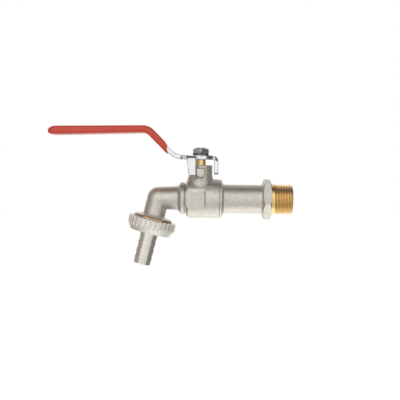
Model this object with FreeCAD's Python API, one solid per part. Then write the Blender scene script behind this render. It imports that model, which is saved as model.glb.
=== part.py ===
import FreeCAD, Part
import math
import os

# Lever-operated drain ball valve with a bent spout and a hose union. All sizes are in millimetres.
# The origin is the centre of the hexagon's face that the inlet thread stands on.
# +X runs out along the inlet thread, +Z runs up the stem, and -Y is the side with the stop lug.

os.makedirs("parts", exist_ok=True)

# Clearances
running_gap = 0.05          # radial play of a turning fit
fitted_gap = 0.02           # radial play of a fit that never turns
stop_gap = 0.3              # left between an ear of the lever and the lug at each end of the turn
tongue_gap = 0.1            # play of the stem's tongue in the ball's slot
spigot_end_gap = 0.3        # left between the spigot's end and the end of its hole
overshoot = 1.0             # how far a cutting shape runs past the face that it leaves by
hair = 0.001                # a length that counts as nothing when edges are told apart

# Inlet connector
thread_radius = 10.4775     # G 1/2, major
thread_length = 14.5
thread_chamfer = 1.0
hexagon_across_flats = 24.4
hexagon_length = 5.4
hexagon_turn = 13.8         # degrees from a corner pointing along +Y
hexagon_root_radius = 1.8   # rounding between the barrel and the hexagon
barrel_radius = 9.65
barrel_length = 26.6
collar_radius = 12.8
collar_shoulder_radius = 11.8
collar_length = 1.6
collar_cone_length = 1.1
hexagon_chamfer_angle = 30.0
inlet_bore_radius = 6.25
spigot_radius = 11.0
spigot_reach = 7.0          # stem axis to the spigot's inner end
body_seal_wall = 1.1
body_seal_width = 1.3

# Chamber of the body
chamber_radius = 13.1
chamber_reach = 13.1        # stem axis to the face that the connector's collar meets
chamber_back = 9.5          # stem axis to the chamber's spout-side face
chamber_edge = 1.3          # chamfer of that face
rim_chamfer = 0.4
cavity_radius = 10.2
flat_distance = 11.2        # pipe axis to the flats on the chamber's sides
flat_reach = 2.9            # stem axis to the foot of the slanted step where the flats end
flat_step_run = 0.9         # how far that step runs back towards the inlet

# Ring between the chamber and the spout
groove_width = 1.1
groove_radius = 9.9
ring_width = 2.8
ring_radius = 10.9
ring_edge = 0.4
ring_cone_length = 1.8

# Spout and its outlet thread
spout_root_radius = 8.2     # where the level run leaves the ring
spout_radius = 7.45         # at the corner and down the leg
spout_bore_radius = 5.0
spout_reach = 28.4          # stem axis to the corner of the spout's centre line
spout_lean = 13.5           # degrees that the spout's leg leans forward of plumb
leg_length = 12.0           # corner to the foot of the outlet's shoulder
outlet_cone_length = 1.1
outlet_radius = 13.22       # G 3/4, major
outlet_length = 6.7
outlet_chamfer = 0.5

# Neck and stop lug
neck_radius = 8.0
neck_top = 22.5
flare_top = 15.2
flare_slope = 0.35          # how far the neck's foot widens for each millimetre down
flare_bottom = 4.0
lug_half_width = 2.9
lug_front = 12.0
lug_top = 20.4
lug_bottom = 14.3
lug_corner = 0.8

# Ball and seats
ball_radius = 9.5
port_radius = 5.0
slot_floor = 6.4
seat_back = 8.9             # stem axis to the back of a seat
seat_front = 6.2            # stem axis to the front of a seat
seat_radius = 8.3
seat_bore_radius = 5.2
seat_pocket_depth = 2.4

# Stem, its washer and its seals
tongue_half_thickness = 2.0
tongue_half_width = 4.3
tongue_bottom = 6.5
tongue_root = 0.5           # how far the tongue reaches into the shoulder
shoulder_radius = 5.2
shoulder_bottom = 9.9
shoulder_top = 11.9
thrust_washer_thickness = 1.0
stem_radius = 4.0
stem_shaft_top = 22.4
seal_groove_depth = 1.1
seal_groove_width = 1.7
lower_groove_bottom = 14.6
upper_groove_bottom = 18.2
stem_thread_radius = 3.5
stem_top = 34.5
stem_tip_chamfer = 0.8
flats_half_distance = 2.6
lever_seat = 26.2           # height of the ledges that carry the lever

# Lever
lever_thickness = 2.9
hub_radius = 8.4
arm_width = 13.0
crank_start = 17.1          # stem axis to the foot of the crank
crank_run = 18.8
crank_rise = 18.7
grip_droop = 1.5            # degrees that the grip falls towards the tip
foot_bend_radius = 13.3
head_bend_radius = 8.0
lever_reach = 100.4         # stem axis to the end of the steel
ear_width = 6.0
ear_taper = 1.4             # how much narrower an ear is at its foot, on the side away from the lug
ear_inner = 9.3             # stem axis to the inner face of an ear
ear_bend_radius = 0.9
front_ear_bottom = 15.2
side_ear_bottom = 16.3
ear_corner = 1.4

# Plastic sleeve on the lever
sleeve_width = 17.0
sleeve_height = 4.9
sleeve_tip_height = 5.8     # where the nose starts
sleeve_nose_length = 6.1
sleeve_nose_drop = 0.35     # how far the tip's middle lies below the centre line
sleeve_nose_angles = (0, 20, 40, 60, 75)    # degrees round the nose at which its sections stand
sleeve_edge_radius = 1.9
sleeve_tip_corner = 6.0     # rounding of the tip as seen from above
sleeve_tip_wall = 3.2
sleeve_level_run = 1.0      # straight run between the sleeve's bend and its taper
sleeve_mouth = 22.7         # stem axis to the upright line where the dipped sleeve ends
sleeve_mouth_drop = 1.0     # how far below the sleeve's top that line starts to slope back
sleeve_mouth_slope = 56.0   # degrees of the sloped part, from level

# Spring washer and nut on the stem
washer_radius = 5.4
washer_thickness = 1.2
washer_slit = 0.8
washer_slit_angle = 150.0
lever_nut_across_flats = 10.4
lever_nut_chamfer_angle = 45.0
lever_nut_height = 3.9
lever_nut_turn = 4.0

# Hose union
thread_above_nut = 1.75     # how much of the outlet's thread stands out of the tightened nut
nut_radius = 16.15
nut_edge = 0.6
nut_taper_start = 4.85
nut_bottom_radius = 13.6
flute_count = 32
flute_radius = 0.85
flute_depth = 1.1
lip_thickness = 1.45
lip_bore_radius = 6.7
gasket_thickness = 1.5
gasket_radius = 12.6
gasket_bore_radius = 5.5
flange_thickness = 1.5
flange_radius = 12.8
tail_bore_radius = 4.5
tail_length = 21.8          # underside of the nut to the end of the tail
tail_root_radius = 5.8
tail_crest_radius = 6.15
tail_land = 0.8
tail_barb_count = 4
tail_plain_length = 1.0
tail_tip_radius = 5.7

# Places that follow from the sizes above
joint_face = -(hexagon_length + barrel_length + collar_cone_length + collar_length)
stem_x = joint_face - chamber_reach
corner_x = stem_x - spout_reach
washer_top = shoulder_top + thrust_washer_thickness
lever_top = lever_seat + lever_thickness
ring_face = chamber_back + groove_width
cone_face = ring_face + ring_width
ear_outer = ear_inner + lever_thickness
thread_top = leg_length + outlet_cone_length
gasket_top = thread_top + outlet_length
flange_top = gasket_top + gasket_thickness
lip_top = flange_top + flange_thickness + running_gap
nut_bottom = lip_top + lip_thickness
nut_top = thread_top + thread_above_nut


def point(x, y, z):
    return FreeCAD.Vector(x, y, z)


def corner_radius(across_flats):
    """Distance from a hexagon's centre to its corners."""
    return across_flats / 2 / math.cos(math.radians(30))


def turned(outline):
    """A solid turned about X, from corners given as distance along X and radius."""
    corners = [point(along, radius, 0) for along, radius in outline]
    face = Part.Face(Part.makePolygon(corners + corners[:1]))
    return face.revolve(point(0, 0, 0), point(1, 0, 0), 360)


def rod(radius, start, end):
    """A round bar along X."""
    return Part.makeCylinder(radius, end - start, point(start, 0, 0), point(1, 0, 0))


def block(x, y, z):
    """A box between the lower and upper limits on each axis."""
    return Part.makeBox(x[1] - x[0], y[1] - y[0], z[1] - z[0], point(x[0], y[0], z[0]))


def placed(shape, place, tilt):
    """A copy moved to a place on the pipe axis, with its own X axis tilted down from +X."""
    moved = shape.copy()
    moved.Placement = FreeCAD.Placement(point(place, 0, 0), FreeCAD.Rotation(point(0, 1, 0), tilt))
    return moved


def along_pipe(shape):
    """From distances measured at the stem axis, along the pipe."""
    return placed(shape, stem_x, 0)


def up_stem(shape):
    """From distances along X to heights on the stem axis."""
    return placed(shape, stem_x, -90)


def down_leg(shape):
    """From distances along X to distances down the spout's leg."""
    return placed(shape, corner_x, 90 + spout_lean)


def hexagon(across_flats, start, end, turn, chamfer_angle):
    """A hexagonal prism along X whose corners are chamfered at both ends, at an angle to its end faces."""
    flat = across_flats / 2
    corner = corner_radius(across_flats)
    chamfer = (corner - flat) * math.tan(math.radians(chamfer_angle))
    ring = []
    for side in range(7):
        angle = math.radians(turn + 60 * side)
        ring.append(point(start, corner * math.cos(angle), corner * math.sin(angle)))
    prism = Part.Face(Part.makePolygon(ring)).extrude(point(end - start, 0, 0))
    round_blank = turned([(start, 0), (start, flat), (start + chamfer, corner),
                          (end - chamfer, corner), (end, flat), (end, 0)])
    return prism.common(round_blank)


def squeezed_ring(inner, outer, start, end):
    """A soft ring about X in a groove: flat against the groove and the bore, round at its two sides."""
    rounding = (outer - inner) / 2
    middle = inner + rounding
    near = start + rounding
    far = end - rounding
    edges = [
        Part.LineSegment(point(near, outer, 0), point(far, outer, 0)).toShape(),
        Part.Arc(point(far, outer, 0), point(end, middle, 0), point(far, inner, 0)).toShape(),
        Part.LineSegment(point(far, inner, 0), point(near, inner, 0)).toShape(),
        Part.Arc(point(near, inner, 0), point(start, middle, 0), point(near, outer, 0)).toShape(),
    ]
    return Part.Face(Part.Wire(edges)).revolve(point(0, 0, 0), point(1, 0, 0), 360)


def turned_body():
    """The chamber, the ring behind it and the spout's level run, about the pipe axis."""
    outline = [
        (chamber_reach, 0),
        (chamber_reach, chamber_radius - rim_chamfer),
        (chamber_reach - rim_chamfer, chamber_radius),
        (chamber_edge - chamber_back, chamber_radius),
        (-chamber_back, chamber_radius - chamber_edge),
        (-chamber_back, groove_radius),
        (-ring_face, groove_radius),
        (-ring_face, ring_radius - ring_edge),
        (-ring_face - ring_edge, ring_radius),
        (ring_edge - cone_face, ring_radius),
        (-cone_face, ring_radius - ring_edge),
        (-cone_face - ring_cone_length, spout_root_radius),
        (-spout_reach, spout_radius),
        (-spout_reach, 0),
    ]
    return along_pipe(turned(outline))


def side_flats():
    """What is cut from the front and back of the chamber to leave its two flats and their slanted steps."""
    start = -chamber_back - overshoot
    outer = 2 * chamber_radius
    run = flat_step_run * (outer - flat_distance) / (chamber_radius - flat_distance)
    low = -chamber_radius
    outline = [point(start, flat_distance, low), point(flat_reach, flat_distance, low),
               point(flat_reach + run, outer, low), point(start, outer, low)]
    back = Part.Face(Part.makePolygon(outline + outline[:1])).extrude(point(0, 0, 2 * chamber_radius))
    front = back.mirror(point(0, 0, 0), point(0, 1, 0))
    return along_pipe(front.fuse(back))


def neck():
    flare_height = flare_top - flare_bottom
    outline = [
        (0, 0),
        (0, neck_radius),
        (flare_bottom, neck_radius + flare_slope * flare_height),
        (flare_top, neck_radius),
        (neck_top - rim_chamfer, neck_radius),
        (neck_top, neck_radius - rim_chamfer),
        (neck_top, 0),
    ]
    return up_stem(turned(outline))


def stop_lug():
    """A pad with a round foot on the front of the neck, which stops the lever's ears."""
    middle = lug_bottom + lug_half_width
    upper = block((-lug_half_width, lug_half_width), (-lug_front, 0), (middle, lug_top))
    foot = Part.makeCylinder(lug_half_width, lug_front, point(0, -lug_front, middle), point(0, 1, 0))
    pad = upper.fuse(foot).removeSplitter()
    front_edges = [edge for edge in pad.Edges if edge.BoundBox.YMax < -lug_front + hair]
    pad = pad.makeFillet(lug_corner, front_edges)
    pad.translate(point(stem_x, 0, 0))
    return pad


def spout_leg():
    """The leg below the corner and the wide outlet end that takes the union nut."""
    outline = [
        (0, 0),
        (0, spout_radius),
        (leg_length, spout_radius),
        (thread_top, outlet_radius - outlet_chamfer),
        (thread_top + outlet_chamfer, outlet_radius),
        (gasket_top - outlet_chamfer, outlet_radius),
        (gasket_top, outlet_radius - outlet_chamfer),
        (gasket_top, 0),
    ]
    corner = Part.makeSphere(spout_radius, point(corner_x, 0, 0))
    return down_leg(turned(outline)).fuse(corner)


def body_waterway():
    """The ball's cavity, the seat's pocket behind it and the bore through the spout."""
    cavity = rod(cavity_radius, seat_pocket_depth - seat_back, chamber_reach)
    screwed = rod(spigot_radius + fitted_gap, spigot_reach - spigot_end_gap, chamber_reach + overshoot)
    pocket = rod(seat_radius + fitted_gap, -seat_back, 0)
    level = rod(spout_bore_radius, -spout_reach, 0)
    corner = Part.makeSphere(spout_bore_radius, point(corner_x, 0, 0))
    leg = down_leg(rod(spout_bore_radius, 0, gasket_top + overshoot))
    return along_pipe(cavity.fuse([screwed, pocket, level])).fuse([corner, leg])


def stem_hole():
    """The stepped hole for the stem, whose step holds the thrust washer down."""
    pocket = rod(shoulder_radius + running_gap, tongue_bottom, washer_top + running_gap)
    bore = rod(stem_radius + running_gap, washer_top, neck_top + overshoot)
    return up_stem(pocket.fuse(bore))


def valve_body():
    solid = turned_body().cut(side_flats())
    solid = solid.fuse([neck(), stop_lug(), spout_leg()])
    return solid.cut(body_waterway()).cut(stem_hole()).removeSplitter()


def inlet_connector():
    """Spigot, collar, barrel, hexagon and inlet thread, with the waterway through them."""
    spigot_end = stem_x + spigot_reach
    seal_end = joint_face - body_seal_width
    cone_end = joint_face + collar_length + collar_cone_length
    outline = [
        (spigot_end, 0),
        (spigot_end, spigot_radius),
        (seal_end, spigot_radius),
        (seal_end, spigot_radius - body_seal_wall),
        (joint_face, spigot_radius - body_seal_wall),
        (joint_face, collar_radius),
        (joint_face + collar_length - rim_chamfer, collar_radius),
        (joint_face + collar_length, collar_shoulder_radius),
        (cone_end, barrel_radius),
        (-hexagon_length / 2, barrel_radius),
        (-hexagon_length / 2, thread_radius),
        (thread_length - thread_chamfer, thread_radius),
        (thread_length, thread_radius - thread_chamfer),
        (thread_length, 0),
    ]
    flats = hexagon(hexagon_across_flats, -hexagon_length, 0, hexagon_turn, hexagon_chamfer_angle)
    solid = turned(outline).fuse(flats).removeSplitter()
    root = [edge for edge in solid.Edges if abs(edge.BoundBox.XMin + hexagon_length) < hair
            and edge.BoundBox.XLength < hair and abs(edge.BoundBox.YLength - 2 * barrel_radius) < hair]
    root_room = hexagon_across_flats / 2 - barrel_radius - rim_chamfer
    solid = solid.makeFillet(min(hexagon_root_radius, root_room), root)
    recess = along_pipe(rod(seat_radius + fitted_gap, 0, seat_back))
    bore = rod(inlet_bore_radius, stem_x, thread_length + overshoot)
    return solid.cut(recess.fuse(bore)).removeSplitter()


def body_seal():
    """A flat ring in the corner behind the connector's collar."""
    start = joint_face - body_seal_width
    return rod(spigot_radius, start, joint_face).cut(rod(spigot_radius - body_seal_wall, start, joint_face))


def seat(side):
    """A ring on one side of the ball (+1 inlet, -1 spout), hollowed to the ball's shape."""
    ring = rod(seat_radius, seat_front, seat_back).cut(rod(seat_bore_radius, seat_front, seat_back))
    ring = ring.cut(Part.makeSphere(ball_radius + running_gap))
    if side < 0:
        ring = ring.mirror(point(0, 0, 0), point(1, 0, 0))
    return along_pipe(ring)


def ball():
    sphere = Part.makeSphere(ball_radius)
    port = rod(port_radius, -ball_radius, ball_radius)
    slot_half = tongue_half_thickness + tongue_gap
    slot = block((-slot_half, slot_half), (-ball_radius, ball_radius), (slot_floor, ball_radius + overshoot))
    return along_pipe(sphere.cut(port).cut(slot))


def stem():
    """Tongue, shoulder, sealed shaft, and a threaded end with two flats for the lever."""
    groove_radius = stem_radius - seal_groove_depth
    outline = [
        (shoulder_bottom, 0),
        (shoulder_bottom, shoulder_radius),
        (shoulder_top, shoulder_radius),
        (shoulder_top, stem_radius),
    ]
    for bottom in (lower_groove_bottom, upper_groove_bottom):
        outline += [
            (bottom, stem_radius),
            (bottom, groove_radius),
            (bottom + seal_groove_width, groove_radius),
            (bottom + seal_groove_width, stem_radius),
        ]
    outline += [
        (stem_shaft_top, stem_radius),
        (stem_shaft_top, stem_thread_radius),
        (stem_top - stem_tip_chamfer, stem_thread_radius),
        (stem_top, stem_thread_radius - stem_tip_chamfer),
        (stem_top, 0),
    ]
    solid = up_stem(turned(outline))
    tongue = block((-tongue_half_thickness, tongue_half_thickness),
                   (-tongue_half_width, tongue_half_width), (tongue_bottom, shoulder_bottom + tongue_root))
    solid = solid.fuse(along_pipe(tongue))
    for side in (-1, 1):
        limits = sorted((side * flats_half_distance, side * stem_radius))
        waste = block((-stem_radius, stem_radius), limits, (lever_seat, stem_top + overshoot))
        solid = solid.cut(along_pipe(waste))
    return solid.removeSplitter()


def thrust_washer():
    ring = rod(shoulder_radius, shoulder_top, washer_top)
    return up_stem(ring.cut(rod(stem_radius, shoulder_top, washer_top)))


def stem_seal(bottom):
    return up_stem(squeezed_ring(stem_radius - seal_groove_depth, stem_radius + running_gap / 2,
                                 bottom, bottom + seal_groove_width))


def lever_line():
    """The centre line of the bent arm, from the stem axis to the end of the steel."""
    level = lever_seat + lever_thickness / 2
    foot = point(stem_x - crank_start, 0, level)
    head = point(foot.x - crank_run, 0, level + crank_rise)
    end_x = stem_x - lever_reach
    fall = (head.x - end_x) * math.tan(math.radians(grip_droop))
    return [point(stem_x, 0, level), foot, head, point(end_x, 0, head.z - fall)]


def bent_wire(points, radii):
    """A wire through the points, whose inner corners are rounded to the given radii."""
    edges = []
    start = points[0]
    for before, corner, after, radius in zip(points, points[1:], points[2:], radii):
        back = (before - corner).normalize()
        ahead = (after - corner).normalize()
        half_turn = (math.pi - back.getAngle(ahead)) / 2
        reach = radius * math.tan(half_turn)
        to_centre = (back + ahead).normalize()
        nearest = to_centre * (radius / math.cos(half_turn) - radius)
        arc_start = corner + back * reach
        arc_end = corner + ahead * reach
        edges.append(Part.LineSegment(start, arc_start).toShape())
        edges.append(Part.Arc(arc_start, corner + nearest, arc_end).toShape())
        start = arc_end
    edges.append(Part.LineSegment(start, points[-1]).toShape())
    return Part.Wire(edges)


def rounded_section(centre, across, along_y, along_across, rounding):
    """A rectangle with rounded corners, centred on a point and spread along Y and a given direction."""
    half_y = point(0, along_y / 2, 0)
    half_a = across * (along_across / 2)
    corners = [centre - half_y - half_a, centre + half_y - half_a,
               centre + half_y + half_a, centre - half_y + half_a]
    edges = []
    slack = rounding * (1 - math.sqrt(0.5))
    starts = []
    ends = []
    for index, corner in enumerate(corners):
        back = (corners[index - 1] - corner).normalize()
        ahead = (corners[(index + 1) % 4] - corner).normalize()
        starts.append(corner + back * rounding)
        ends.append(corner + ahead * rounding)
        edges.append(Part.Arc(starts[-1], corner + (back + ahead) * slack, ends[-1]).toShape())
    for index in range(4):
        edges.append(Part.LineSegment(ends[index], starts[(index + 1) % 4]).toShape())
    return Part.Wire(Part.__sortEdges__(edges))


def lever_arm():
    """The flat bar that leaves the hub, climbs the crank and runs to the tip."""
    line = lever_line()
    across = point(0, 0, 1)
    section = Part.makePolygon([line[0] + point(0, y * arm_width / 2, 0) + across * z * lever_thickness / 2
                                for y, z in ((-1, -1), (1, -1), (1, 1), (-1, 1), (-1, -1))])
    path = bent_wire(line, (foot_bend_radius, head_bend_radius))
    return path.makePipeShell([section], True, False)


def ear(bottom, slanted_side):
    """A tab along +X that turns down, spread along Y from 0 to its width. One side narrows its foot."""
    outer_bend = ear_bend_radius + lever_thickness
    bend_x = ear_outer - outer_bend
    bend_z = lever_top - outer_bend
    sine = math.sin(math.radians(45))
    corners = [
        point(0, 0, lever_seat), point(bend_x, 0, lever_seat),
        point(ear_inner, 0, bend_z), point(ear_inner, 0, bottom),
        point(ear_outer, 0, bottom), point(ear_outer, 0, bend_z),
        point(bend_x, 0, lever_top), point(0, 0, lever_top),
    ]
    inner_mid = point(bend_x + ear_bend_radius * sine, 0, bend_z + ear_bend_radius * sine)
    outer_mid = point(bend_x + outer_bend * sine, 0, bend_z + outer_bend * sine)
    edges = [
        Part.LineSegment(corners[0], corners[1]).toShape(),
        Part.Arc(corners[1], inner_mid, corners[2]).toShape(),
        Part.LineSegment(corners[2], corners[3]).toShape(),
        Part.LineSegment(corners[3], corners[4]).toShape(),
        Part.LineSegment(corners[4], corners[5]).toShape(),
        Part.Arc(corners[5], outer_mid, corners[6]).toShape(),
        Part.LineSegment(corners[6], corners[7]).toShape(),
        Part.LineSegment(corners[7], corners[0]).toShape(),
    ]
    tab = Part.Face(Part.Wire(edges)).extrude(point(0, ear_width, 0))
    inward = 1 if slanted_side < ear_width / 2 else -1
    narrowed = slanted_side + inward * ear_taper
    wedge = [point(ear_inner, slanted_side, bend_z), point(ear_inner, narrowed, bottom),
             point(ear_inner, slanted_side, bottom)]
    tab = tab.cut(Part.Face(Part.makePolygon(wedge + wedge[:1])).extrude(point(lever_thickness, 0, 0)))
    low_edges = [edge for edge in tab.Edges
                 if edge.BoundBox.ZMax < bottom + hair and edge.BoundBox.XLength > lever_thickness / 2]
    return tab.makeFillet(ear_corner, low_edges)


def lever():
    """Hub, arm and two ears. At each end of the quarter turn one ear meets a side of the lug."""
    ear_offset = lug_half_width + stop_gap
    hub = Part.makeCylinder(hub_radius, lever_thickness, point(0, 0, lever_seat))
    side_ear = ear(side_ear_bottom, ear_width)
    side_ear.translate(point(0, ear_offset, 0))
    front_ear = ear(front_ear_bottom, 0)
    front_ear.rotate(point(0, 0, 0), point(0, 0, 1), -90)
    front_ear.translate(point(-ear_offset - ear_width, 0, 0))
    hole = Part.makeCylinder(stem_thread_radius + fitted_gap, lever_thickness, point(0, 0, lever_seat))
    flat = flats_half_distance + fitted_gap
    hole = hole.common(block((-hub_radius, hub_radius), (-flat, flat), (lever_seat, lever_top)))
    plate = along_pipe(hub.fuse([side_ear, front_ear]))
    return plate.fuse(lever_arm()).cut(along_pipe(hole)).removeSplitter()


def beyond_the_mouth(mouth, steepness):
    """What is cut from the swept sleeve to leave its upright end, whose upper part slopes back."""
    knee = mouth.z + sleeve_height / 2 * steepness - sleeve_mouth_drop
    reach = sleeve_height * 2
    rise = reach * math.tan(math.radians(sleeve_mouth_slope))
    outline = [point(mouth.x, -sleeve_width, mouth.z - reach), point(mouth.x, -sleeve_width, knee),
               point(mouth.x - reach, -sleeve_width, knee + rise),
               point(mouth.x + reach, -sleeve_width, knee + rise),
               point(mouth.x + reach, -sleeve_width, mouth.z - reach)]
    return Part.Face(Part.makePolygon(outline + outline[:1])).extrude(point(0, 2 * sleeve_width, 0))


def nose_section(start, along, up, angle):
    """One outline of the sleeve's nose, which is an ellipse from the side with round corners from above."""
    turn = math.radians(angle)
    distance = sleeve_nose_length * math.sin(turn)
    height = sleeve_tip_height * math.cos(turn)
    inset = sleeve_tip_corner - math.sqrt(sleeve_tip_corner ** 2 - min(distance, sleeve_tip_corner) ** 2)
    drop = sleeve_nose_drop * (distance / sleeve_nose_length) ** 2
    centre = start + along * distance - up * drop
    rounding = sleeve_edge_radius * math.cos(turn)
    return rounded_section(centre, up, sleeve_width - 2 * inset, height, rounding)


def lever_sleeve():
    """A dipped sleeve from the crank to the tip, thicker towards the tip and closed by a low nose."""
    foot, head, end = lever_line()[1:]
    slope = (head - foot).normalize()
    along = (end - head).normalize()
    up = point(along.z, 0, -along.x)
    steepness = 1 / abs(slope.x)
    mouth = foot + slope * ((sleeve_mouth - crank_start) * steepness)
    start = mouth - slope * sleeve_height
    straight = head + along * (head_bend_radius * math.tan(slope.getAngle(along) / 2) + sleeve_level_run)
    path = bent_wire([start, head, straight], (head_bend_radius,))
    section = rounded_section(start, point(-slope.z, 0, slope.x), sleeve_width, sleeve_height,
                              sleeve_edge_radius)
    bend = path.makePipeShell([section], True, False).cut(beyond_the_mouth(mouth, steepness))

    nose = end + along * (sleeve_tip_wall - sleeve_nose_length)
    bend_end = rounded_section(straight, up, sleeve_width, sleeve_height, sleeve_edge_radius)
    sections = [nose_section(nose, along, up, angle) for angle in sleeve_nose_angles]
    grip = Part.makeLoft([bend_end, sections[0]], True, True)
    tip = Part.makeLoft(sections, True, False)
    return bend.fuse([grip, tip]).cut(lever_arm()).removeSplitter()


def spring_washer():
    """A split ring under the nut."""
    ring = rod(washer_radius, lever_top, lever_top + washer_thickness)
    ring = ring.cut(rod(stem_thread_radius + fitted_gap, lever_top, lever_top + washer_thickness))
    slit = block((lever_top, lever_top + washer_thickness), (0, washer_radius + overshoot),
                 (-washer_slit / 2, washer_slit / 2))
    slit.rotate(point(0, 0, 0), point(1, 0, 0), washer_slit_angle)
    return up_stem(ring.cut(slit))


def lever_nut():
    bottom = lever_top + washer_thickness
    top = bottom + lever_nut_height
    prism = hexagon(lever_nut_across_flats, bottom, top, lever_nut_turn, lever_nut_chamfer_angle)
    return up_stem(prism.cut(rod(stem_thread_radius + fitted_gap, bottom, top)))


def union_nut():
    """A fluted nut whose lip draws the tail's flange up to the outlet."""
    inner = outlet_radius + running_gap
    outline = [
        (nut_top, inner),
        (nut_top, nut_radius - nut_edge),
        (nut_top + nut_edge, nut_radius),
        (nut_top + nut_taper_start, nut_radius),
        (nut_bottom, nut_bottom_radius),
        (nut_bottom, lip_bore_radius),
        (lip_top, lip_bore_radius),
        (lip_top, inner),
    ]
    start = nut_top - overshoot
    floor = nut_radius - flute_depth + flute_radius
    flute = rod(flute_radius, start, nut_bottom)
    flute.translate(point(0, 0, floor))
    flute = flute.fuse(block((start, nut_bottom), (-flute_radius, flute_radius),
                             (floor, nut_radius + overshoot)))
    flutes = []
    for number in range(flute_count):
        copy = flute.copy()
        copy.rotate(point(0, 0, 0), point(1, 0, 0), 360.0 * number / flute_count)
        flutes.append(copy)
    return down_leg(turned(outline).cut(flutes).removeSplitter())


def tail_gasket():
    ring = rod(gasket_radius, gasket_top, flange_top)
    return down_leg(ring.cut(rod(gasket_bore_radius, gasket_top, flange_top)))


def hose_tail():
    """A flanged pipe with saw-tooth barbs that a hose is pushed over."""
    end = nut_bottom + tail_length
    barbs_start = nut_bottom + tail_plain_length
    pitch = (end - barbs_start) / tail_barb_count
    outline = [
        (flange_top, tail_bore_radius),
        (flange_top, flange_radius),
        (flange_top + flange_thickness, flange_radius),
        (flange_top + flange_thickness, tail_root_radius),
    ]
    for number in range(tail_barb_count):
        barb = barbs_start + number * pitch
        outline += [(barb, tail_root_radius), (barb, tail_crest_radius),
                    (barb + tail_land, tail_crest_radius)]
    outline += [(end, tail_tip_radius), (end, tail_bore_radius)]
    return down_leg(turned(outline))


pieces = {
    "valve_body": valve_body(),
    "inlet_connector": inlet_connector(),
    "body_seal": body_seal(),
    "inlet_seat": seat(1),
    "outlet_seat": seat(-1),
    "ball": ball(),
    "stem": stem(),
    "thrust_washer": thrust_washer(),
    "lower_stem_seal": stem_seal(lower_groove_bottom),
    "upper_stem_seal": stem_seal(upper_groove_bottom),
    "lever": lever(),
    "lever_sleeve": lever_sleeve(),
    "spring_washer": spring_washer(),
    "lever_nut": lever_nut(),
    "union_nut": union_nut(),
    "tail_gasket": tail_gasket(),
    "hose_tail": hose_tail(),
}

for name, shape in pieces.items():
    shape.exportStep("parts/" + name + ".step")
    print(name, "solids", len(shape.Solids), "valid", shape.isValid(), "volume", round(shape.Volume, 1))
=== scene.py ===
import math

import bmesh
import bpy
from mathutils import Matrix, Vector


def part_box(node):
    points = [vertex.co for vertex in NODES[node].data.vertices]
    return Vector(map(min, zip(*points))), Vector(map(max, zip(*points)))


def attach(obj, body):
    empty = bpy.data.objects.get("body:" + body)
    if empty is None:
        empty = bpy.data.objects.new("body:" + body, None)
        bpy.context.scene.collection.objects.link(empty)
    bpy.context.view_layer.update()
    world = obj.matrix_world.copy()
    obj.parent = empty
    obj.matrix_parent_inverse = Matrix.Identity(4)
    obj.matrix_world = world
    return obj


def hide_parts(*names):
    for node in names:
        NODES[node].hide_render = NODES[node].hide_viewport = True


# Drain ball valve with a cranked lever, a bent spout and a hose union, in a white studio.
# Sizes are in metres. MM turns millimetres into metres.
MM = 0.001

# Camera: it stands square in front of the pipe, a little above it, and is turned slightly on its own axis
VIEW_CENTRE = Vector((-47.9 * MM, 0.0, -1.1 * MM))
VIEW_DISTANCE = 544.0 * MM
VIEW_ELEVATION = math.radians(1.7)
VIEW_ROLL = math.radians(0.8)
LENS = 72.0                     # focal length and sensor width, in millimetres
SENSOR = 36.0

# Places on the valve, from the construction
STEM_X = -47.8 * MM             # the stem's axis
CORNER = Vector((-76.2 * MM, 0.0, 0.0))     # where the spout's leg meets the pipe's axis
SPOUT_LEAN = math.radians(13.5)             # of the leg, from upright
LEG_AXIS = Vector((-math.sin(SPOUT_LEAN), 0.0, -math.cos(SPOUT_LEAN)))
ALONG_PIPE = Vector((1.0, 0.0, 0.0))
ACROSS_PIPE = Vector((0.0, 1.0, 0.0))
UPWARD = Vector((0.0, 0.0, 1.0))
THREAD_TOP = 13.1 * MM          # corner to the top of the outlet's thread
OUTLET_END = 19.8 * MM          # corner to the outlet's lower face

# Looks
SATIN_SHEEN = 0.5               # pale bloom that a blasted surface shows along its rims
SATIN_SHEEN_ROUGHNESS = 0.45
HOLLOW_SAMPLES = 8              # rays per spot that look for a hollow's walls
HOLLOW_DARK = 0.45              # open share of the sky below which a hollow has its full painted shade
HOLLOW_CLEAR = 0.92             # open share above which it has none
EDGE_START = 0.505              # outward bend, 0.5 being flat, from which the painted edge tone begins
EDGE_FULL = 0.54                # and at which it is full
MASK_STEP = 0.1                 # millimetres over which the plate gives way to bare brass
MOTTLING_DETAIL = 3.0           # layers of ever finer spots in the mottling
MOTTLING_ROUGHNESS = 0.55       # how strong each layer is beside the one before
UNIT = (0.0, 1.0)               # range of masks and of the mottling

# Sockets of a mixing node, which has one set for numbers and one for colours
FIRST_NUMBER = 2
SECOND_NUMBER = 3
MIXED_NUMBER = 0
FIRST_COLOUR = 6
SECOND_COLOUR = 7
MIXED_COLOUR = 2

# Colours. Stops are pairs of a place in the mottling and the colour there
WHITE = (1.0, 1.0, 1.0)
NICKEL_STOPS = [(0.30, (0.61, 0.585, 0.535)), (0.52, (0.67, 0.645, 0.59)), (0.72, (0.72, 0.695, 0.645))]
TURNED_STOPS = [(0.32, (0.82, 0.80, 0.755)), (0.52, (0.86, 0.84, 0.795)), (0.70, (0.89, 0.87, 0.83))]
CAST_STOPS = [(0.32, (0.90, 0.88, 0.84)), (0.52, (0.94, 0.92, 0.88)), (0.70, (0.96, 0.94, 0.91))]
BRASS_STOPS = [(0.30, (0.86, 0.61, 0.25)), (0.55, (0.94, 0.70, 0.33)), (0.75, (0.98, 0.76, 0.41))]
# The outlet's brass is a darker, greyer copy of the bright brass: painted shade of its recess inside the
# union nut
SHADED_BRASS_STOPS = [(0.30, (0.42, 0.32, 0.20)), (0.55, (0.55, 0.42, 0.27)), (0.75, (0.62, 0.49, 0.33))]
DULL_STEEL_STOPS = [(0.35, (0.29, 0.285, 0.29)), (0.65, (0.40, 0.395, 0.40))]
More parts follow.
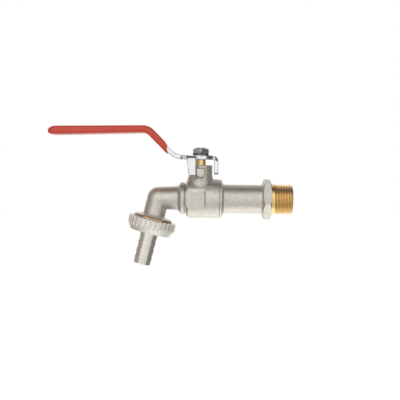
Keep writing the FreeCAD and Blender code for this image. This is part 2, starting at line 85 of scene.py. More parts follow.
SPRING_STEEL_STOPS = [(0.35, (0.17, 0.17, 0.175)), (0.65, (0.24, 0.24, 0.245))]
ZINC_STOPS = [(0.35, (0.86, 0.88, 0.92)), (0.65, (0.94, 0.95, 0.97))]
CHROME_STOPS = [(0.4, (0.80, 0.80, 0.82)), (0.6, (0.86, 0.86, 0.88))]
SEAT_STOPS = [(0.4, (0.84, 0.84, 0.82)), (0.6, (0.90, 0.90, 0.88))]
RUBBER_STOPS = [(0.4, (0.015, 0.015, 0.015)), (0.6, (0.03, 0.03, 0.03))]
RED_STOPS = [(0.35, (0.73, 0.074, 0.042)), (0.65, (0.78, 0.088, 0.052))]
# Painted edge tones: a dark reflection along the zinc lever's sharp edges, and a pale highlight along the
# steel nut's
ZINC_EDGE_SHADE = (0.16, 0.17, 0.19)  # along sharp edges
STEEL_EDGE_HIGHLIGHT = (0.60, 0.60, 0.61)

# Painted shade in hollows: what the colour there is multiplied by, and how near the walls of a hollow stand
NICKEL_HOLLOW = (0.58, 0.56, 0.53)
NICKEL_HOLLOW_REACH = 1.0 * MM
CAST_HOLLOW = (0.62, 0.60, 0.57)
CAST_HOLLOW_REACH = 1.1 * MM
TURNED_HOLLOW = (0.75, 0.74, 0.72)
TURNED_HOLLOW_REACH = 0.4 * MM
BRASS_HOLLOW = (0.62, 0.54, 0.44)
SHADED_BRASS_HOLLOW = (0.85, 0.82, 0.78)
BRASS_HOLLOW_REACH = 0.9 * MM

# Roughness of each finish, from its smoothest spots to its roughest
BLASTED_ROUGHNESS = (0.40, 0.54)
THREAD_ROUGHNESS = (0.16, 0.28)
CAST_ROUGHNESS = (0.50, 0.62)
TURNED_ROUGHNESS = (0.19, 0.27)
BRASS_ROUGHNESS = (0.16, 0.30)
CHROME_ROUGHNESS = (0.05, 0.12)
ZINC_ROUGHNESS = (0.08, 0.18)
DULL_STEEL_ROUGHNESS = (0.32, 0.44)
SPRING_STEEL_ROUGHNESS = (0.46, 0.58)
SEAT_ROUGHNESS = (0.35, 0.45)
RUBBER_ROUGHNESS = (0.5, 0.65)
RED_ROUGHNESS = (0.28, 0.36)

# Which finish each node wears
NODE_FINISHES = {
    "valve_body": "body", "inlet_connector": "connector", "body_seal": "rubber", "inlet_seat": "seat",
    "outlet_seat": "seat", "ball": "chrome", "stem": "brass", "thrust_washer": "seat",
    "lower_stem_seal": "rubber", "upper_stem_seal": "rubber", "lever": "zinc", "lever_sleeve": "red",
    "spring_washer": "spring_steel", "lever_nut": "dark_steel", "union_nut": "nut",
    "tail_gasket": "rubber", "hose_tail": "tail",
}

# Pipe threads, 14 to the inch, with flanks at 55 degrees and round crests and roots
THREAD_PITCH = 1.814 * MM
THREAD_DEPTH = 1.162 * MM
THREAD_ROUND = 0.249 * MM       # radius of the crests and roots
THREAD_FLANK = 62.5             # degrees between a flank's normal and the thread's radius
CREST_FLAT = 15.0               # degrees of the crest's round that stay on the plain cylinder
THREAD_RUN_OUT = 0.25           # turns over which a groove starts
CUTTER_CLEAR = 0.3 * MM         # how far the cutter stands out of the surface
STEPS_PER_TURN = 48             # steps of the cutter in one turn
INLET_RADIUS = 10.4775 * MM
INLET_LENGTH = 14.5 * MM
INLET_PLAIN = 1.4 * MM          # plain band beside the hexagon
OUTLET_RADIUS = 13.22 * MM
OUTLET_PLAIN = 1.9 * MM         # from the outlet's shoulder to the middle of its first groove

# Rounded edges of the lever and its nut
LEVER_ROUND = 0.5 * MM
LEVER_ROUND_ANGLE = 35.0        # degrees by which two faces turn where their edge is rounded
NUT_ROUND = 0.18 * MM
NUT_ROUND_ANGLE = 20.0
ROUND_SEGMENTS = 3
ROUND_PROFILE = 0.5             # a circle's arc

# Lines of vertices added to the lever's ears and hub and to its nut, so that the painted edge tone stays
# narrow
LINE_STEP = 1.2 * MM
EAR_TOP = 26.4 * MM             # height below which the ears hang
EAR_FOOT = 0.9 * MM             # from an ear's lower edge to the first line
EAR_REACH = 13.2 * MM           # from the stem to beyond either ear
HUB_BOTTOM = 26.2 * MM          # heights between which the hub's upright wall stands
HUB_TOP = 29.1 * MM
HUB_REACH = 8.5 * MM            # stem axis to just outside the hub's wall
HUB_HALF = 4.4 * MM             # half the width of that wall between the arms
HUB_UPRIGHT = 0.3               # upward part of a face's normal below which it counts as upright
HUB_MARGIN = 0.7 * MM           # from the wall's edges to the first line
HUB_STEP = 0.5 * MM             # between the lines on it
BORDER_WIDTH = 0.45 * MM        # narrow border run round each wide face of the lever
WIDE_FACE = 30.0 * MM * MM      # area above which a face counts as wide
NUT_FOOT = 0.9 * MM             # from the nut's lower face to the first line
NUT_HEAD = 1.4 * MM             # from its top to the last line
NUT_SIDE = 0.8 * MM             # from its sides to the first and last lines

# Cone on top of the lever's nut
NUT_CONE_START = 3.9 * MM       # radius at which the cone leaves the nut's top face
NUT_CONE_OUTER = 7.0 * MM       # radius just outside the nut's corners
NUT_CONE_ABOVE = 0.3 * MM       # how far the cutter stands above the top
NUT_CONE_SLOPE = math.tan(math.radians(30))
RING_STEPS = 72                 # steps round the cutter

# Light of the room round the valve: how bright it is in a full turn from the wall behind (-180 degrees)
# over the floor (-90), the front (0) and the ceiling (90) back to it (180), and how grey it is at the sides
ROOM_TURN = [
    (-180, 1.35), (-140, 1.45), (-95, 1.62), (-78, 1.38), (-62, 0.84), (-45, 0.68), (-25, 0.76),
    (-6, 0.92), (12, 0.98), (34, 1.06), (50, 0.88), (60, 0.40), (70, 0.10), (80, 0.03), (92, 0.04),
    (104, 0.28), (115, 0.62), (136, 0.76), (152, 1.20), (180, 1.35),
]
ROOM_TINT = (1.0, 0.985, 0.96)
ROOM_LEFT = (0.36, 0.335, 0.30)
ROOM_RIGHT = (0.23, 0.222, 0.208)
SIDE_START = (44, 64)           # degrees round the upright, from the front, where grey begins and is full
SIDE_END = (134, 158)           # where it starts to give way to the pale wall behind, and where it is gone
SIDE_REACH = (0.30, 0.55)       # how far to the side, as direction cosines, so that floor and ceiling stay
SIDE_BLEND = 0.1                # direction cosine over which the left grey gives way to the right one

# Floor and lamp
FLOOR_DROP = 160.0 * MM         # from the pipe's axis to the floor
FLOOR_HALF = 3.0                # half its width
FLOOR_COLOUR = (0.9, 0.9, 0.9)
FLOOR_WHITENESS = 0.58          # added to the floor where the camera sees it, up to plain white
SOFTBOX_PLACE = Vector((-0.52, -1.12, 0.45))
SOFTBOX_TARGET = Vector((-0.05, 0.0, 0.0))
SOFTBOX_WIDTH = 0.60
SOFTBOX_HEIGHT = 0.55
SOFTBOX_POWER = 0.90            # watts

# Meshes
WELD_DISTANCE = 0.0005 * MM
FLAT_ANGLE = 0.4                # degrees within which faces count as one flat face
SHARP_ANGLE = 28.0              # degrees between two faces that meet in a sharp edge

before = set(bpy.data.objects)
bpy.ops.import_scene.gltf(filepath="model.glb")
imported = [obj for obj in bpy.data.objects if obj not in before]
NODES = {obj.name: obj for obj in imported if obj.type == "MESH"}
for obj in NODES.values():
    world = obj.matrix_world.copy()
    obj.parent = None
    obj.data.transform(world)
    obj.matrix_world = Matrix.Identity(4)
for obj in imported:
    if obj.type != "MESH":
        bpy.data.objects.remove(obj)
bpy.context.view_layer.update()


def blank_material(name):
    """A material with nothing but its output. Returns the material, its tree and the surface input."""
    material = bpy.data.materials.new(name)
    material.use_nodes = True
    tree = material.node_tree
    tree.nodes.clear()
    output = tree.nodes.new("ShaderNodeOutputMaterial")
    return material, tree, output.inputs["Surface"]


def new_material(name):
    """A material with a fresh Principled shader. Returns the material, its tree and the shader."""
    material, tree, surface = blank_material(name)
    shader = tree.nodes.new("ShaderNodeBsdfPrincipled")
    tree.links.new(shader.outputs["BSDF"], surface)
    return material, tree, shader


def millimetre_coordinates(tree):
    """The piece's own coordinates, in millimetres."""
    coordinates = tree.nodes.new("ShaderNodeTexCoord")
    scaled = tree.nodes.new("ShaderNodeVectorMath")
    scaled.operation = "SCALE"
    scaled.inputs["Scale"].default_value = 1.0 / MM
    tree.links.new(coordinates.outputs["Object"], scaled.inputs[0])
    return scaled.outputs["Vector"]


def noise(tree, where, scale, detail=MOTTLING_DETAIL):
    """Cloudy mottling. scale is how many spots there are to the millimetre."""
    node = tree.nodes.new("ShaderNodeTexNoise")
    node.inputs["Scale"].default_value = scale
    node.inputs["Detail"].default_value = detail
    node.inputs["Roughness"].default_value = MOTTLING_ROUGHNESS
    tree.links.new(where, node.inputs["Vector"])
    return node.outputs["Fac"]


def ramp(tree, value, stops):
    """A colour ramp through (position, colour) stops."""
    node = tree.nodes.new("ShaderNodeValToRGB")
    elements = node.color_ramp.elements
    while len(elements) < len(stops):
        elements.new(0.5)
    for element, (position, colour) in zip(elements, stops):
        element.position = position
        element.color = (*colour, 1.0)
    tree.links.new(value, node.inputs["Fac"])
    return node.outputs["Color"]


def ranged(tree, value, source, target, course="LINEAR"):
    """A value mapped from one range to another, and held at the ends of it."""
    node = tree.nodes.new("ShaderNodeMapRange")
    node.interpolation_type = course
    node.inputs["From Min"].default_value = source[0]
    node.inputs["From Max"].default_value = source[1]
    node.inputs["To Min"].default_value = target[0]
    node.inputs["To Max"].default_value = target[1]
    tree.links.new(value, node.inputs["Value"])
    return node.outputs["Result"]


def bump(tree, shader, height, strength, distance, under=None):
    """Raises and lowers the surface by up to the distance. under is the normal of a bump to add it to."""
    node = tree.nodes.new("ShaderNodeBump")
    node.inputs["Strength"].default_value = strength
    node.inputs["Distance"].default_value = distance
    tree.links.new(height, node.inputs["Height"])
    if under is not None:
        tree.links.new(under, node.inputs["Normal"])
    tree.links.new(node.outputs["Normal"], shader.inputs["Normal"])
    return node.outputs["Normal"]


def set_roughness(tree, shader, where, scale, bounds):
    """Roughness that varies with the mottling between two bounds."""
    value = ranged(tree, noise(tree, where, scale), UNIT, bounds)
    tree.links.new(value, shader.inputs["Roughness"])


def axial_mask(tree, where, origin, axis, start):
    """0 before a distance along an axis and 1 after it. Lengths are in millimetres."""
    offset = tree.nodes.new("ShaderNodeVectorMath")
    offset.operation = "SUBTRACT"
    offset.inputs[1].default_value = origin
    tree.links.new(where, offset.inputs[0])
    along = tree.nodes.new("ShaderNodeVectorMath")
    along.operation = "DOT_PRODUCT"
    along.inputs[1].default_value = axis
    tree.links.new(offset.outputs["Vector"], along.inputs[0])
    return ranged(tree, along.outputs["Value"], (start, start + MASK_STEP), UNIT)


def plain(tree, colour):
    """The same colour everywhere."""
    node = tree.nodes.new("ShaderNodeRGB")
    node.outputs["Color"].default_value = (*colour, 1.0)
    return node.outputs["Color"]


def mixed(tree, mask, first, second):
    """The first colour where the mask is 0 and the second where it is 1."""
    node = tree.nodes.new("ShaderNodeMix")
    node.data_type = "RGBA"
    tree.links.new(mask, node.inputs["Factor"])
    tree.links.new(first, node.inputs[FIRST_COLOUR])
    tree.links.new(second, node.inputs[SECOND_COLOUR])
    return node.outputs[MIXED_COLOUR]


def mixed_value(tree, mask, first, second):
    """The first number where the mask is 0 and the second where it is 1."""
    node = tree.nodes.new("ShaderNodeMix")
    node.data_type = "FLOAT"
    tree.links.new(mask, node.inputs["Factor"])
    tree.links.new(first, node.inputs[FIRST_NUMBER])
    tree.links.new(second, node.inputs[SECOND_NUMBER])
    return node.outputs[MIXED_NUMBER]


def in_hollows(tree, colour, tone, reach):
    """Paints shade into a colour in grooves and corners, darker where the walls stand near and less of the
    sky is open. reach is how near the walls stand.
    """
    hollow = tree.nodes.new("ShaderNodeAmbientOcclusion")
    hollow.samples = HOLLOW_SAMPLES
    hollow.inputs["Distance"].default_value = reach
    shade_mix = tree.nodes.new("ShaderNodeMix")
    shade_mix.data_type = "RGBA"
    shade_mix.blend_type = "MULTIPLY"
    shade_mix.inputs["Factor"].default_value = 1.0
    tree.links.new(colour, shade_mix.inputs[FIRST_COLOUR])
    tones = ramp(tree, hollow.outputs["AO"], [(HOLLOW_DARK, tone), (HOLLOW_CLEAR, WHITE)])
    tree.links.new(tones, shade_mix.inputs[SECOND_COLOUR])
    return shade_mix.outputs[MIXED_COLOUR]


def on_edges(tree, colour, edge_paint):
    """Paints another colour along the sharp outer edges: painted shade on the zinc lever, painted highlight
    on the steel nut.
    """
    geometry = tree.nodes.new("ShaderNodeNewGeometry")
    edge = ranged(tree, geometry.outputs["Pointiness"], (EDGE_START, EDGE_FULL), UNIT)
    return mixed(tree, edge, colour, plain(tree, edge_paint))


def satin_nickel(name, brass_stops, brass_hollow, origin, axis, start):
    """Blasted forging under satin nickel plate, and bare brass beyond a place along an axis."""
    material, tree, shader = new_material(name)
    where = millimetre_coordinates(tree)
    plated = ramp(tree, noise(tree, where, scale=0.35), NICKEL_STOPS)
    # painted shade in the grooves and corners of the plate and of the bare brass
    plated = in_hollows(tree, plated, NICKEL_HOLLOW, NICKEL_HOLLOW_REACH)
    bare = ramp(tree, noise(tree, where, scale=0.5), brass_stops)
    bare = in_hollows(tree, bare, brass_hollow, BRASS_HOLLOW_REACH)
    mask = axial_mask(tree, where, origin, axis, start)
    tree.links.new(mixed(tree, mask, plated, bare), shader.inputs["Base Color"])
    shader.inputs["Metallic"].default_value = 1.0
    blasted = ranged(tree, noise(tree, where, scale=0.8), UNIT, BLASTED_ROUGHNESS)
    turned = ranged(tree, noise(tree, where, scale=1.5), UNIT, THREAD_ROUGHNESS)
    tree.links.new(mixed_value(tree, mask, blasted, turned), shader.inputs["Roughness"])
    shader.inputs["Sheen Weight"].default_value = SATIN_SHEEN
    shader.inputs["Sheen Roughness"].default_value = SATIN_SHEEN_ROUGHNESS
    grain = noise(tree, where, scale=2.6, detail=2.0)
    blast = bump(tree, shader, grain, strength=0.35, distance=0.06 * MM)
    waves = noise(tree, where, scale=0.22, detail=1.0)
    bump(tree, shader, waves, strength=0.5, distance=0.25 * MM, under=blast)
    return material


def machined_nickel(name, stops, hollow, reach, roughness):
    """Nickel plate on the union nut or the tail, paler than on the blasted forgings."""
    material, tree, shader = new_material(name)
    where = millimetre_coordinates(tree)
    colour = ramp(tree, noise(tree, where, scale=0.4), stops)
    # painted shade in the grooves
    colour = in_hollows(tree, colour, hollow, reach)
    tree.links.new(colour, shader.inputs["Base Color"])
    shader.inputs["Metallic"].default_value = 1.0
    set_roughness(tree, shader, where, scale=1.0, bounds=roughness)
    bump(tree, shader, noise(tree, where, scale=2.2), strength=0.2, distance=0.03 * MM)
    return material


def bare_brass():
    """Bright turned brass without plate."""
    material, tree, shader = new_material("bare_brass_turned")
    where = millimetre_coordinates(tree)
    colour = ramp(tree, noise(tree, where, scale=0.6), BRASS_STOPS)
    tree.links.new(colour, shader.inputs["Base Color"])
    shader.inputs["Metallic"].default_value = 1.0
    set_roughness(tree, shader, where, scale=1.5, bounds=BRASS_ROUGHNESS)
    bump(tree, shader, noise(tree, where, scale=4.0), strength=0.15, distance=0.03 * MM)
    return material


def plated_steel(name, stops, roughness, edge_paint=None):
    """Plated metal. Its last argument, if given, is a colour painted along its outer edges in place of
    their reflections.
    """
    material, tree, shader = new_material(name)
    where = millimetre_coordinates(tree)
    colour = ramp(tree, noise(tree, where, scale=0.45), stops)
    if edge_paint is not None:
        colour = on_edges(tree, colour, edge_paint)
    tree.links.new(colour, shader.inputs["Base Color"])
    shader.inputs["Metallic"].default_value = 1.0
    set_roughness(tree, shader, where, scale=1.2, bounds=roughness)
    bump(tree, shader, noise(tree, where, scale=1.6, detail=4.0), strength=0.2, distance=0.04 * MM)
    return material


def soft_skin(name, stops, roughness, grain, height):
    """Plastic or rubber with a moulded grain, given as spots to the millimetre and their height."""
    material, tree, shader = new_material(name)
    where = millimetre_coordinates(tree)
    colour = ramp(tree, noise(tree, where, scale=0.25), stops)
    tree.links.new(colour, shader.inputs["Base Color"])
    set_roughness(tree, shader, where, scale=0.9, bounds=roughness)
    bump(tree, shader, noise(tree, where, grain), strength=0.3, distance=height)
    return material


def dress(thing, key):
    """Gives a piece or a node one of the finishes."""
    thing.data.materials.clear()
    thing.data.materials.append(MATERIALS[key])


def new_piece(name, mesh):
    """A new piece of the model with a mesh of its own."""
    piece = bpy.data.objects.new(name, mesh)
    bpy.context.scene.collection.objects.link(piece)
    return piece


def welded_copy(node_name, piece_name):
    """A new piece with the node's shape, its seams joined and its flat faces whole."""
    shape = bmesh.new()
    shape.from_mesh(NODES[node_name].data)
    bmesh.ops.remove_doubles(shape, verts=shape.verts, dist=WELD_DISTANCE)
    bmesh.ops.dissolve_degenerate(shape, edges=shape.edges, dist=WELD_DISTANCE)
    corners = [vertex.co.copy() for vertex in shape.verts]
    shape.verts.index_update()
    faces = [[vertex.index for vertex in face.verts] for face in shape.faces]
    shape.free()
    mesh = bpy.data.meshes.new(piece_name)
    mesh.from_pydata(corners, [], faces)
    return new_piece(piece_name, mesh)


def groove_profile():
    """One side of the groove, from the root up, as (depth below the crest, offset from its middle)."""
    root = THREAD_DEPTH - THREAD_ROUND
    points = []
    for degrees in (THREAD_FLANK / 3, THREAD_FLANK * 2 / 3, THREAD_FLANK):
        angle = math.radians(degrees)
        points.append((root + THREAD_ROUND * math.cos(angle), THREAD_ROUND * math.sin(angle)))
    for degrees in (THREAD_FLANK, (THREAD_FLANK + CREST_FLAT) / 2, CREST_FLAT):
        angle = math.radians(degrees)
        points.append((THREAD_ROUND * (1.0 - math.cos(angle)),
                       THREAD_PITCH / 2 - THREAD_ROUND * math.sin(angle)))
    points.append((-CUTTER_CLEAR, points[-1][1]))
    return points


def groove_cutter(origin, axis, radius, start, end):
    """A closed solid that winds along a right-hand pipe thread's groove."""
    across = axis.orthogonal().normalized()
    up = axis.cross(across)
    turns = (end - start) / THREAD_PITCH
    steps = math.ceil(turns * STEPS_PER_TURN)
    side = groove_profile()
    profile = [(depth, -offset) for depth, offset in reversed(side)] + side
    count = len(profile)
    corners = []
    for step in range(steps + 1):
        turn = step / STEPS_PER_TURN
        angle = 2 * math.pi * turn
        outward = across * math.cos(angle) + up * math.sin(angle)
        middle = origin + axis * (start + turn * THREAD_PITCH)
        lift = THREAD_DEPTH * max(0.0, 1.0 - turn / THREAD_RUN_OUT)
        corners += [middle + outward * (radius + lift - depth) + axis * offset
                    for depth, offset in profile]
    faces = [tuple(range(count))]
    for step in range(steps):
        here = count * step
        for corner in range(count):
            after = (corner + 1) % count
            faces.append((here + corner, here + count + corner, here + count + after, here + after))
    last = count * steps
    faces.append(tuple(range(last + count - 1, last - 1, -1)))
    mesh = bpy.data.meshes.new("groove_cutter")
    mesh.from_pydata(corners, [], faces)
    shape = bmesh.new()
    shape.from_mesh(mesh)
    bmesh.ops.triangulate(shape, faces=shape.faces)
    bmesh.ops.recalc_face_normals(shape, faces=shape.faces)
    shape.to_mesh(mesh)
    shape.free()
    return new_piece("groove_cutter", mesh)


def merge_slivers(mesh):
    """Joins corners that a cut left on the same spot, and removes the empty faces between them."""
    shape = bmesh.new()
    shape.from_mesh(mesh)
    bmesh.ops.remove_doubles(shape, verts=shape.verts, dist=WELD_DISTANCE)
    bmesh.ops.dissolve_degenerate(shape, dist=WELD_DISTANCE, edges=shape.edges)
    shape.to_mesh(mesh)
    shape.free()


def cut_away(piece, cutter):
    """Subtracts the cutter from the piece for good and removes the cutter."""
    step = piece.modifiers.new("cut", "BOOLEAN")
    step.operation = "DIFFERENCE"
    step.solver = "EXACT"
    step.object = cutter
    evaluated = piece.evaluated_get(bpy.context.evaluated_depsgraph_get())
    cut_mesh = bpy.data.meshes.new_from_object(evaluated)
    plain_mesh = piece.data
    piece.modifiers.clear()
    piece.data = cut_mesh
    bpy.data.meshes.remove(plain_mesh)
    cutter_mesh = cutter.data
    bpy.data.objects.remove(cutter)
    bpy.data.meshes.remove(cutter_mesh)
    merge_slivers(cut_mesh)


def shade(mesh):
    """Smooth shading that stops at the sharp edges."""
    mesh.shade_smooth()
    mesh.set_sharp_from_angle(angle=math.radians(SHARP_ANGLE))


def soften_edges(piece, width, angle):
    """Rounds the piece's edges that turn by more than the angle, as a press or a die leaves them."""
    shape = bmesh.new()
    shape.from_mesh(piece.data)
    bmesh.ops.dissolve_limit(shape, angle_limit=math.radians(FLAT_ANGLE), verts=shape.verts,
                             edges=shape.edges)
    edges = [edge for edge in shape.edges
             if edge.is_manifold and edge.calc_face_angle() > math.radians(angle)]
    bmesh.ops.bevel(shape, geom=edges, offset=width, offset_type="OFFSET", segments=ROUND_SEGMENTS,
                    profile=ROUND_PROFILE, affect="EDGES", clamp_overlap=True)
    shape.to_mesh(piece.data)
    shape.free()


def ring_cutter(centre, corners):
    """A closed ring turned about the upright line through centre, from (radius, height) corners."""
    shape = bmesh.new()
    rings = []
    for step in range(RING_STEPS):
        angle = 2 * math.pi * step / RING_STEPS
        outward = Vector((math.cos(angle), math.sin(angle), 0.0))
        rings.append([shape.verts.new(centre + outward * radius + Vector((0.0, 0.0, height)))
                      for radius, height in corners])
    for step, ring in enumerate(rings):
        after = rings[(step + 1) % RING_STEPS]
        for side in range(len(corners)):
            other = (side + 1) % len(corners)
            shape.faces.new((ring[side], ring[other], after[other], after[side]))
    bmesh.ops.recalc_face_normals(shape, faces=shape.faces)
    mesh = bpy.data.meshes.new("ring_cutter")
    shape.to_mesh(mesh)
    shape.free()
    return new_piece("ring_cutter", mesh)


def cut_lines(piece, direction, places, chosen=None):
    """Adds lines of vertices where planes across the direction meet the piece, without changing its shape.
    chosen says which faces are cut. Without it, all are."""
    shape = bmesh.new()
    shape.from_mesh(piece.data)
    for place in places:
        if chosen is None:
            cut = [*shape.verts, *shape.edges, *shape.faces]
        else:
            faces = [face for face in shape.faces if chosen(face)]
            edges = {edge for face in faces for edge in face.edges}
            cut = [*{vert for face in faces for vert in face.verts}, *edges, *faces]
            cut.sort(key=lambda part: (type(part).__name__, part.index))
        bmesh.ops.bisect_plane(shape, geom=cut, dist=WELD_DISTANCE, plane_co=direction * place,
                               plane_no=direction)
        for parts in (shape.verts, shape.edges, shape.faces):
            parts.index_update()
    shape.to_mesh(piece.data)
    shape.free()


def evenly(first, last, step):
    """Places from first to last, about a step apart."""
    count = max(1, round((last - first) / step))
    return [first + (last - first) * number / count for number in range(count + 1)]


def inset_wide_faces(piece, width, smallest):
    """Runs a narrow border round each face larger than smallest, which keeps the painted edge tone beside
    the edge.
    """
    shape = bmesh.new()
    shape.from_mesh(piece.data)
    wide = [face for face in shape.faces if face.calc_area() > smallest]
    bmesh.ops.inset_individual(shape, faces=wide, thickness=width, depth=0.0, use_even_offset=True)
    shape.to_mesh(piece.data)
    shape.free()


def make_lever_nut():
    """The lever's hexagon nut, its top turned to a cone as on a cold-formed nut."""
    piece = welded_copy("lever_nut", "lever_hexagon_nut")
    lowest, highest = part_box("lever_nut")
    beyond = NUT_CONE_OUTER - NUT_CONE_START
    above = NUT_CONE_ABOVE
    inner = NUT_CONE_START - above / NUT_CONE_SLOPE
    corners = [(inner, above), (NUT_CONE_OUTER, above), (NUT_CONE_OUTER, -beyond * NUT_CONE_SLOPE)]
    cut_away(piece, ring_cutter(Vector((STEM_X, 0.0, highest.z)), corners))
    soften_edges(piece, NUT_ROUND, NUT_ROUND_ANGLE)
    cut_lines(piece, UPWARD, evenly(lowest.z + NUT_FOOT, highest.z - NUT_HEAD, LINE_STEP))
    cut_lines(piece, ALONG_PIPE, evenly(lowest.x + NUT_SIDE, highest.x - NUT_SIDE, LINE_STEP))
    cut_lines(piece, ACROSS_PIPE, evenly(lowest.y + NUT_SIDE, highest.y - NUT_SIDE, LINE_STEP))
    shade(piece.data)
    dress(piece, "dark_steel")
    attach(piece, "handle")
    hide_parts("lever_nut")


def on_hub_wall(face):
    """Whether a face of the lever belongs to the front or back of the upright wall round its hub."""
    centre = face.calc_center_median()
    return (abs(face.normal.z) < HUB_UPRIGHT and HUB_BOTTOM < centre.z < HUB_TOP
            and abs(centre.x - STEM_X) < HUB_HALF and abs(centre.y) < HUB_REACH)


def make_lever():
    """The pressed lever with rounded edges, and lines across ears and hub that keep the painted edge tone
    narrow.
    """
    piece = welded_copy("lever", "pressed_lever")
    soften_edges(piece, LEVER_ROUND, LEVER_ROUND_ANGLE)
    lowest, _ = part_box("lever")
    cut_lines(piece, UPWARD, evenly(lowest.z + EAR_FOOT, EAR_TOP, LINE_STEP))
    cut_lines(piece, ALONG_PIPE, evenly(STEM_X - EAR_REACH, STEM_X + EAR_REACH, LINE_STEP))
    cut_lines(piece, UPWARD, evenly(HUB_BOTTOM + HUB_MARGIN, HUB_TOP - HUB_MARGIN, HUB_STEP), on_hub_wall)
    inset_wide_faces(piece, BORDER_WIDTH, WIDE_FACE)
    shade(piece.data)
    dress(piece, "zinc")
    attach(piece, "handle")
    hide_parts("lever")


def make_threaded(node_name, piece_name, finish, origin, axis, radius, start, end):
    """The node with its pipe thread cut in, in place of the node's plain cylinder."""
    piece = welded_copy(node_name, piece_name)
    cut_away(piece, groove_cutter(origin, axis, radius, start, end))
    piece.data.name = piece_name
    shade(piece.data)
    dress(piece, finish)
    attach(piece, "valve")
    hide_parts(node_name)


def studio_paper():
    """White paper that shines a little for the camera alone, so that it meets the white behind it."""
    material, tree, surface = blank_material("studio_paper")
    paper = tree.nodes.new("ShaderNodeBsdfDiffuse")
    paper.inputs["Color"].default_value = (*FLOOR_COLOUR, 1.0)
    white = tree.nodes.new("ShaderNodeEmission")
    rays = tree.nodes.new("ShaderNodeLightPath")
    shown = ranged(tree, rays.outputs["Is Camera Ray"], UNIT, (0.0, FLOOR_WHITENESS))
    tree.links.new(shown, white.inputs["Strength"])
    both = tree.nodes.new("ShaderNodeAddShader")
    tree.links.new(paper.outputs["BSDF"], both.inputs[0])
    tree.links.new(white.outputs["Emission"], both.inputs[1])
    tree.links.new(both.outputs["Shader"], surface)
    return material


def make_floor():
    """A wide white floor below the valve, which is held by its inlet and touches nothing."""
    mesh = bpy.data.meshes.new("studio_floor")
    corners = [(x * FLOOR_HALF, y * FLOOR_HALF, -FLOOR_DROP)
               for x, y in ((-1, -1), (1, -1), (1, 1), (-1, 1))]
    mesh.from_pydata(corners, [], [(0, 1, 2, 3)])
    floor = new_piece("studio_floor", mesh)
    mesh.materials.append(studio_paper())
    floor.visible_glossy = False


def calculated(tree, operation, first, second):
    """A sum on one or two values. The second may be a plain number."""
    node = tree.nodes.new("ShaderNodeMath")
    node.operation = operation
    tree.links.new(first, node.inputs[0])
    if isinstance(second, float):
        node.inputs[1].default_value = second
    else:
        tree.links.new(second, node.inputs[1])
    return node.outputs["Value"]


def room_colour(tree, toward, up):
    """The room's light in a full turn over the floor, the front, the ceiling and the wall behind."""
    turn = calculated(tree, "ARCTAN2", up, toward)
    place = ranged(tree, turn, (-math.pi, math.pi), UNIT)
    stops = [((degrees + 180) / 360, tuple(level * part for part in ROOM_TINT))
             for degrees, level in ROOM_TURN]
    return ramp(tree, place, stops)


def side_share(tree, across, toward):
    """1 where a direction points well to the side, and 0 to the front, back, floor and ceiling."""
    reach = calculated(tree, "ABSOLUTE", across, 0.0)
    around = calculated(tree, "ARCTAN2", reach, toward)
    share = ranged(tree, reach, SIDE_REACH, UNIT, "SMOOTHSTEP")
    for first, last in (SIDE_START, reversed(SIDE_END)):
        bounds = (math.radians(first), math.radians(last))
        share = calculated(tree, "MULTIPLY", share, ranged(tree, around, bounds, UNIT, "SMOOTHSTEP"))
    return share


def make_world():
    """A pale room with a dark ceiling and greyer sides, and plain white where the camera sees it."""
    world = bpy.data.worlds.new("studio")
    bpy.context.scene.world = world
    world.use_nodes = True
    tree = world.node_tree
    tree.nodes.clear()
    output = tree.nodes.new("ShaderNodeOutputWorld")
    background = tree.nodes.new("ShaderNodeBackground")
    coordinates = tree.nodes.new("ShaderNodeTexCoord")
    parts = tree.nodes.new("ShaderNodeSeparateXYZ")
    tree.links.new(coordinates.outputs["Generated"], parts.inputs["Vector"])
    across = parts.outputs["X"]
    toward = calculated(tree, "MULTIPLY", parts.outputs["Y"], -1.0)
    room = room_colour(tree, toward, parts.outputs["Z"])
    right = ranged(tree, across, (-SIDE_BLEND, SIDE_BLEND), UNIT, "SMOOTHSTEP")
    greys = mixed(tree, right, plain(tree, ROOM_LEFT), plain(tree, ROOM_RIGHT))
    room = mixed(tree, side_share(tree, across, toward), room, greys)
    rays = tree.nodes.new("ShaderNodeLightPath")
    seen = mixed(tree, rays.outputs["Is Camera Ray"], room, plain(tree, WHITE))
    tree.links.new(seen, background.inputs["Color"])
    background.inputs["Strength"].default_value = 1.0
    tree.links.new(background.outputs["Background"], output.inputs["Surface"])


def make_softbox():
    """One wide soft lamp in front, above and to the left."""
    data = bpy.data.lights.new("front_softbox", "AREA")
    data.shape = "RECTANGLE"
    data.size = SOFTBOX_WIDTH
    data.size_y = SOFTBOX_HEIGHT
    data.energy = SOFTBOX_POWER
    lamp = bpy.data.objects.new("front_softbox", data)
    lamp.location = SOFTBOX_PLACE
    lamp.rotation_mode = "QUATERNION"
    lamp.rotation_quaternion = (SOFTBOX_TARGET - SOFTBOX_PLACE).to_track_quat("-Z", "Y")
    bpy.context.scene.collection.objects.link(lamp)


def make_camera():
    """A camera in front of the valve, with the distance, height and turn given at the top."""
    data = bpy.data.cameras.new("view")
    data.lens = LENS
    data.sensor_width = SENSOR
    camera = bpy.data.objects.new("view", data)
    back = Vector((0.0, -math.cos(VIEW_ELEVATION), math.sin(VIEW_ELEVATION)))
    camera.location = VIEW_CENTRE + back * VIEW_DISTANCE
    upright = (-back).to_track_quat("-Z", "Y")
    camera.rotation_mode = "QUATERNION"
    camera.rotation_quaternion = upright @ Matrix.Rotation(VIEW_ROLL, 3, "Z").to_quaternion()
    bpy.context.scene.collection.objects.link(camera)
    bpy.context.scene.camera = camera


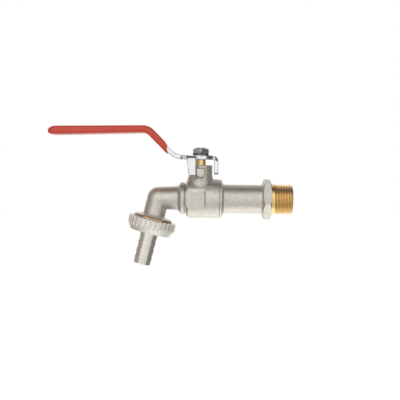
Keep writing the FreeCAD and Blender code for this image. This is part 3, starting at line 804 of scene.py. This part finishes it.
MATERIALS = {
    # the outlet's bare brass wears the darker copy, painted shade of its recess in the union nut
    "body": satin_nickel("satin_nickel_body", SHADED_BRASS_STOPS, SHADED_BRASS_HOLLOW, tuple(CORNER / MM),
                         tuple(LEG_AXIS), THREAD_TOP / MM - MASK_STEP),
    "connector": satin_nickel("satin_nickel_connector", BRASS_STOPS, BRASS_HOLLOW, (0.0, 0.0, 0.0),
                              tuple(ALONG_PIPE), MASK_STEP / 2),
    "nut": machined_nickel("turned_nickel_nut", CAST_STOPS, CAST_HOLLOW, CAST_HOLLOW_REACH,
                           CAST_ROUGHNESS),
    "tail": machined_nickel("turned_nickel_tail", TURNED_STOPS, TURNED_HOLLOW, TURNED_HOLLOW_REACH,
                            TURNED_ROUGHNESS),
    "brass": bare_brass(),
    "chrome": plated_steel("polished_ball", CHROME_STOPS, CHROME_ROUGHNESS),
    # painted dark reflection along the lever's edges, and painted highlight along the nut's
    "zinc": plated_steel("bright_zinc", ZINC_STOPS, ZINC_ROUGHNESS, ZINC_EDGE_SHADE),
    "dark_steel": plated_steel("dull_steel", DULL_STEEL_STOPS, DULL_STEEL_ROUGHNESS, STEEL_EDGE_HIGHLIGHT),
    "spring_steel": plated_steel("dark_spring_steel", SPRING_STEEL_STOPS, SPRING_STEEL_ROUGHNESS),
    "seat": soft_skin("seat_plastic", SEAT_STOPS, SEAT_ROUGHNESS, grain=3.0, height=0.02 * MM),
    "rubber": soft_skin("black_rubber_skin", RUBBER_STOPS, RUBBER_ROUGHNESS, grain=3.0, height=0.03 * MM),
    "red": soft_skin("red_vinyl", RED_STOPS, RED_ROUGHNESS, grain=0.5, height=0.05 * MM),
}
for node_name, finish in NODE_FINISHES.items():
    dress(NODES[node_name], finish)

make_threaded("inlet_connector", "threaded_inlet_connector", "connector", Vector((0.0, 0.0, 0.0)),
              ALONG_PIPE, INLET_RADIUS, INLET_PLAIN + THREAD_PITCH / 2, INLET_LENGTH + THREAD_PITCH)
make_threaded("valve_body", "threaded_valve_body", "body", CORNER, LEG_AXIS, OUTLET_RADIUS,
              THREAD_TOP + OUTLET_PLAIN, OUTLET_END + THREAD_PITCH)
make_lever()
make_lever_nut()

make_floor()
make_world()
make_softbox()
make_camera()
bpy.context.scene.view_settings.view_transform = "Standard"
